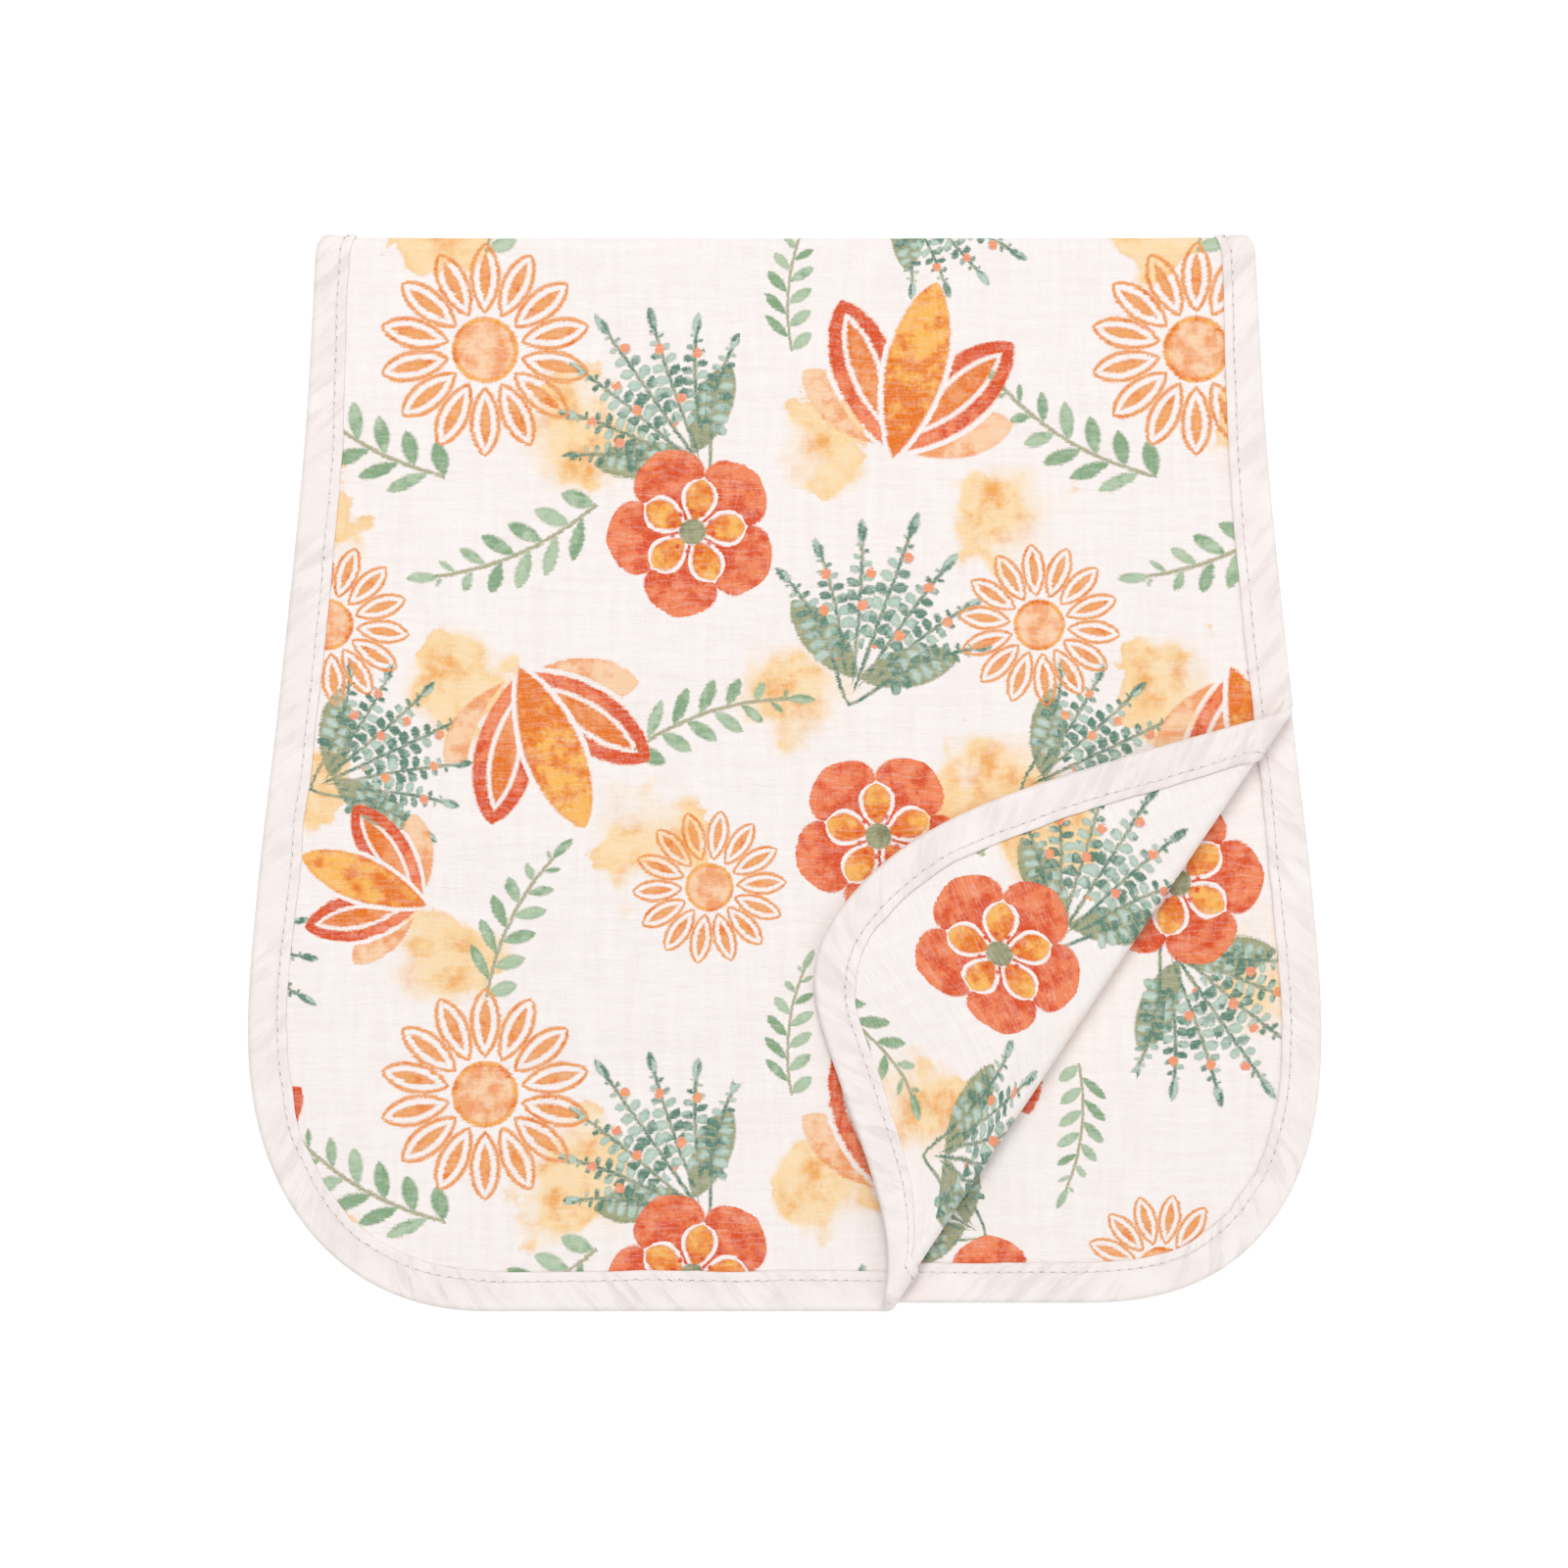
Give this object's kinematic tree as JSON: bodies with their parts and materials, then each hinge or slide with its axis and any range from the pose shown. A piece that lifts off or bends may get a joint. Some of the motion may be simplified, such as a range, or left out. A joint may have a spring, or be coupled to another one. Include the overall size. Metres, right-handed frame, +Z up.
{
  "type": "burp cloth",
  "caption": "Contoured burp cloth of printed muslin with a bound edge, folded in half with one corner turned up.",
  "frame": {"origin": "centre of the folded cloth's footprint, on the surface that it lies on", "axes": "+Z up through the folded layers, +Y towards the fold, +X to the side whose corner is turned up"},
  "size_m": [0.254, 0.2549, 0.013],
  "materials": {
    "printed_muslin": "soft open-weave cotton, off-white with a watercolour print",
    "binding_cotton": "plain white cotton bias tape, topstitched"
  },
  "bodies": {
    "root": {"muslin_panel": "printed_muslin", "edge_binding": "binding_cotton"}
  },
  "joints": []
}
